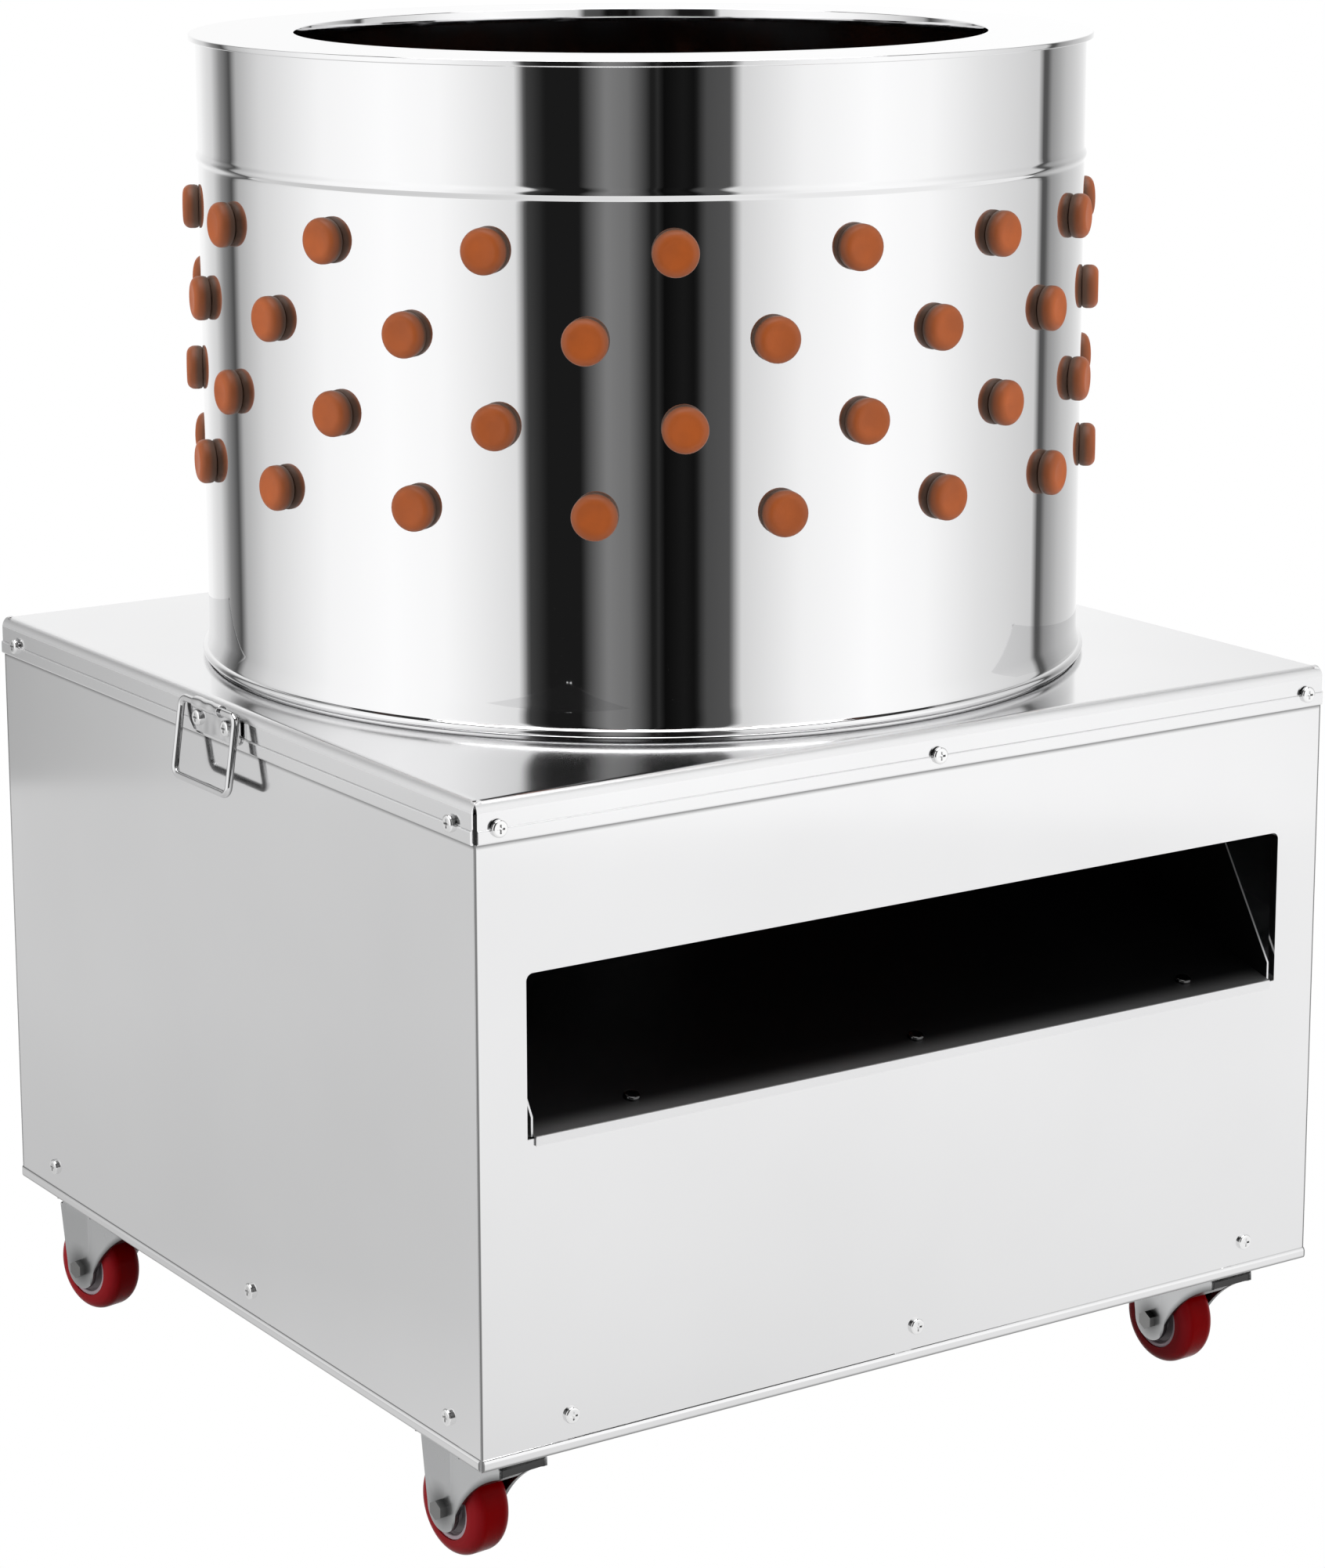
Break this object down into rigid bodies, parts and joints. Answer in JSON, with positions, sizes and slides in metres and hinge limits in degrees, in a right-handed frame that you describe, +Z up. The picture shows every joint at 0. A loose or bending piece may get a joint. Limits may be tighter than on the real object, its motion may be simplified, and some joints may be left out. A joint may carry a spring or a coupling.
{
  "type": "drum poultry plucker",
  "caption": "Drum poultry plucker: polished steel drum with rubber fingers on a square cabinet with a discharge opening, side carrying handles and swivel casters.",
  "frame": {"origin": "on the floor below the drum's axis, at the middle of the footprint", "axes": "+Z up along the drum's axis, -Y the front with the discharge opening, +X to the right seen from the front"},
  "size_m": [0.585, 0.5595, 0.782],
  "materials": {
    "polished_steel": "mirror polished stainless sheet",
    "zinc_steel": "bright zinc plated",
    "frame_steel": "satin grey",
    "screw_steel": "bright",
    "finger_rubber": "matt moulded",
    "tread": "glossy polyurethane",
    "wheel_core": "moulded",
    "cast_aluminium": "as cast",
    "cast_iron": "machined and oiled",
    "shaft_steel": "ground",
    "motor_paint": "semi-gloss",
    "black_rubber": "matt",
    "black_plastic": "fine grain",
    "green_plastic": "gloss",
    "red_plastic": "gloss"
  },
  "bodies": {
    "housing": {"base_cross_rails": "frame_steel", "base_side_rails": "frame_steel", "corner_posts": "frame_steel", "mid_side_rails": "frame_steel", "cross_beams": "frame_steel", "top_cover": "polished_steel", "front_panel": "polished_steel", "rear_panel": "polished_steel", "left_panel": "polished_steel", "right_panel": "polished_steel", "chute_floor": "polished_steel", "chute_cheeks": "polished_steel", "drum_shell": "polished_steel", "drum_rim": "polished_steel", "casing_screws": "screw_steel", "frame_bolts": "zinc_steel", "handle_brackets": "polished_steel", "motor_body": "motor_paint", "motor_fan_cover": "motor_paint", "motor_terminal_box": "motor_paint", "motor_plate": "frame_steel", "bearing_housing": "cast_iron", "shaft_bearings": "shaft_steel", "drive_belt": "black_rubber", "switch_plate": "black_plastic", "switch_box": "black_plastic", "cable_grommet": "black_rubber", "caster_plates": "zinc_steel", "drum_fingers_row_1": "finger_rubber", "drum_fingers_row_2": "finger_rubber", "drum_fingers_row_3": "finger_rubber", "drum_fingers_row_4": "finger_rubber"},
    "rotor": {"main_shaft": "shaft_steel", "rotor_plate": "polished_steel", "rotor_fingers": "finger_rubber", "rotor_hub": "cast_aluminium", "rotor_nut": "zinc_steel", "large_pulley": "cast_iron"},
    "motor_rotor": {"motor_shaft": "shaft_steel", "motor_pulley": "cast_iron"},
    "left_bail": {"left_handle_bail": "polished_steel"},
    "right_bail": {"right_handle_bail": "polished_steel"},
    "start_push": {"start_button": "green_plastic"},
    "stop_push": {"stop_button": "red_plastic"},
    "caster_front_left": {"caster_fork_front_left": "zinc_steel", "caster_axle_front_left": "zinc_steel"},
    "wheel_front_left": {"caster_tread_front_left": "tread", "caster_hub_front_left": "wheel_core"},
    "caster_front_right": {"caster_fork_front_right": "zinc_steel", "caster_axle_front_right": "zinc_steel"},
    "wheel_front_right": {"caster_tread_front_right": "tread", "caster_hub_front_right": "wheel_core"},
    "caster_rear_left": {"caster_fork_rear_left": "zinc_steel", "caster_axle_rear_left": "zinc_steel"},
    "wheel_rear_left": {"caster_tread_rear_left": "tread", "caster_hub_rear_left": "wheel_core"},
    "caster_rear_right": {"caster_fork_rear_right": "zinc_steel", "caster_axle_rear_right": "zinc_steel"},
    "wheel_rear_right": {"caster_tread_rear_right": "tread", "caster_hub_rear_right": "wheel_core"}
  },
  "joints": [
    {"name": "rotor_spin", "type": "hinge", "parent": "housing", "child": "rotor", "pos_m": [0, 0, 0.2], "axis": [0, 0, 1], "continuous": true},
    {"name": "motor_spin", "type": "hinge", "parent": "housing", "child": "motor_rotor", "pos_m": [0, 0.13715, 0.14], "axis": [0, 0, 1], "continuous": true},
    {"name": "left_bail_hinge", "type": "hinge", "parent": "housing", "child": "left_bail", "pos_m": [-0.28445, -0.0032, 0.4277], "axis": [0, 1, 0], "range_deg": [0, 100]},
    {"name": "right_bail_hinge", "type": "hinge", "parent": "housing", "child": "right_bail", "pos_m": [0.28445, -0.0032, 0.4277], "axis": [0, -1, 0], "range_deg": [0, 100]},
    {"name": "start_press", "type": "slide", "parent": "housing", "child": "start_push", "axis": [0, -1, 0], "range_m": [0, 0.004], "stiffness_N_per_m": 300, "springref_m": -0.002},
    {"name": "stop_press", "type": "slide", "parent": "housing", "child": "stop_push", "axis": [0, -1, 0], "range_m": [0, 0.004], "stiffness_N_per_m": 300, "springref_m": -0.002},
    {"name": "swivel_front_left", "type": "hinge", "parent": "housing", "child": "caster_front_left", "pos_m": [-0.243, -0.216, 0.075], "axis": [0, 0, 1], "continuous": true},
    {"name": "roll_front_left", "type": "hinge", "parent": "caster_front_left", "child": "wheel_front_left", "pos_m": [-0.24432, -0.19805, 0.0275], "axis": [0.9973, 0.0732, 0], "continuous": true},
    {"name": "swivel_front_right", "type": "hinge", "parent": "housing", "child": "caster_front_right", "pos_m": [0.243, -0.216, 0.075], "axis": [0, 0, 1], "continuous": true},
    {"name": "roll_front_right", "type": "hinge", "parent": "caster_front_right", "child": "wheel_front_right", "pos_m": [0.24269, -0.198, 0.0275], "axis": [0.9998, 0.0175, 0], "continuous": true},
    {"name": "swivel_rear_left", "type": "hinge", "parent": "housing", "child": "caster_rear_left", "pos_m": [-0.243, 0.216, 0.075], "axis": [0, 0, 1], "continuous": true},
    {"name": "roll_rear_left", "type": "hinge", "parent": "caster_rear_left", "child": "wheel_rear_left", "pos_m": [-0.24653, 0.23365, 0.0275], "axis": [0.9806, 0.1959, 0], "continuous": true},
    {"name": "swivel_rear_right", "type": "hinge", "parent": "housing", "child": "caster_rear_right", "pos_m": [0.243, 0.216, 0.075], "axis": [0, 0, 1], "continuous": true},
    {"name": "roll_rear_right", "type": "hinge", "parent": "caster_rear_right", "child": "wheel_rear_right", "pos_m": [0.24504, 0.23388, 0.0275], "axis": [0.9936, -0.1132, 0], "continuous": true}
  ],
  "couplings": [
    {"joint": "motor_spin", "follows": "rotor_spin", "ratio": 4.0607}
  ]
}
